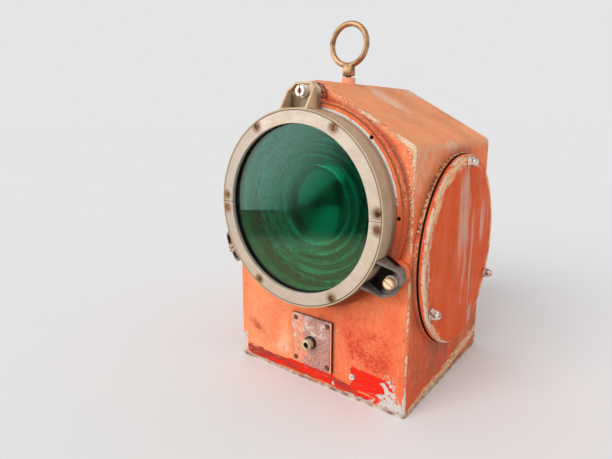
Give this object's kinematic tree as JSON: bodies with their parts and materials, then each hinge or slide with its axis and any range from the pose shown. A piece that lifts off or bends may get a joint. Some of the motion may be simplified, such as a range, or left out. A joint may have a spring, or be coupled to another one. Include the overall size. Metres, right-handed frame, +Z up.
{
  "type": "ship signal lantern",
  "caption": "Box-shaped signal lantern with a gable roof, a round green glass in a bolted bezel, a bolted side cover, a cable gland and a swivelling lifting eye.",
  "frame": {"origin": "middle of the housing's underside, on the surface it stands on", "axes": "+Z up, -Y out of the green lens (front), +X towards the side with the inspection cover"},
  "size_m": [0.2876, 0.292, 0.4655],
  "materials": {
    "housing_paint": "matte",
    "cover_paint": "matte",
    "base_metal": "matte",
    "bezel_bronze": "matte",
    "ring_bronze": "satin",
    "old_brass": "satin",
    "eye_bronze": "satin",
    "zinc_steel": "satin",
    "dark_steel": "satin",
    "rusty_steel": "matte",
    "plate_paint": "matte",
    "green_glass": "polished",
    "clear_glass": "polished",
    "black_rubber": "matte",
    "lamp_ceramic": "gloss",
    "bulb_wire": "satin",
    "wire_brown": "matte",
    "wire_blue": "matte"
  },
  "bodies": {
    "housing": {"front_wall": "housing_paint", "back_wall": "housing_paint", "left_wall": "housing_paint", "right_wall": "housing_paint", "roof_left": "housing_paint", "roof_right": "housing_paint", "roof_boss": "housing_paint", "base_plate": "base_metal", "base_screws": "zinc_steel", "front_collar": "housing_paint", "side_flange": "housing_paint", "earth_screw": "zinc_steel", "eye_washer": "zinc_steel", "step_lens": "clear_glass", "step_lens_seat": "black_rubber", "step_lens_clip": "dark_steel", "gland_plate": "plate_paint", "gland_plate_gasket": "black_rubber", "gland_plate_screws": "rusty_steel", "gland_body": "dark_steel", "gland_locknut": "old_brass", "gland_seal": "black_rubber", "lamp_bracket": "zinc_steel", "bracket_screws": "zinc_steel", "lampholder_base": "lamp_ceramic", "lampholder_shell": "old_brass", "lampholder_screws": "zinc_steel", "lampholder_contacts": "old_brass", "terminal_block": "lamp_ceramic", "terminal_screws": "old_brass", "wire_live": "wire_brown", "wire_return": "wire_blue"},
    "eye": {"lifting_eye": "eye_bronze", "eye_stud": "dark_steel", "eye_nut": "zinc_steel"},
    "lens_unit": {"bezel_ring": "bezel_bronze", "retaining_ring_upper": "ring_bronze", "retaining_ring_lower": "ring_bronze", "retaining_screws": "old_brass", "colour_glass": "green_glass", "glass_gasket_front": "black_rubber", "glass_gasket_rear": "black_rubber", "lug_bolts": "old_brass", "lug_washers": "zinc_steel", "bezel_gasket": "black_rubber"},
    "cover_unit": {"side_cover": "cover_paint", "cover_gasket": "black_rubber", "cover_screws": "zinc_steel", "cover_washers": "zinc_steel"},
    "gland_nut": {"gland_nut": "old_brass"},
    "bulb": {"bulb_cap": "old_brass", "bulb_glass": "clear_glass", "bulb_mount": "bulb_wire"}
  },
  "joints": [
    {"name": "eye_swivel", "type": "hinge", "parent": "housing", "child": "eye", "pos_m": [0, -0.05, 0.39], "axis": [0, 0, 1], "continuous": true},
    {"name": "lens_unit_pull", "type": "slide", "parent": "housing", "child": "lens_unit", "axis": [0, -1, 0], "range_m": [0, 0.12]},
    {"name": "cover_pull", "type": "slide", "parent": "housing", "child": "cover_unit", "axis": [1, 0, 0], "range_m": [0, 0.12]},
    {"name": "gland_nut_turn", "type": "hinge", "parent": "housing", "child": "gland_nut", "pos_m": [0, -0.138, 0.059], "axis": [0, -1, 0], "continuous": true},
    {"name": "bulb_turn", "type": "hinge", "parent": "housing", "child": "bulb", "pos_m": [0, 0.005, 0.172], "axis": [0, 0, 1], "range_deg": [0, 15]}
  ]
}
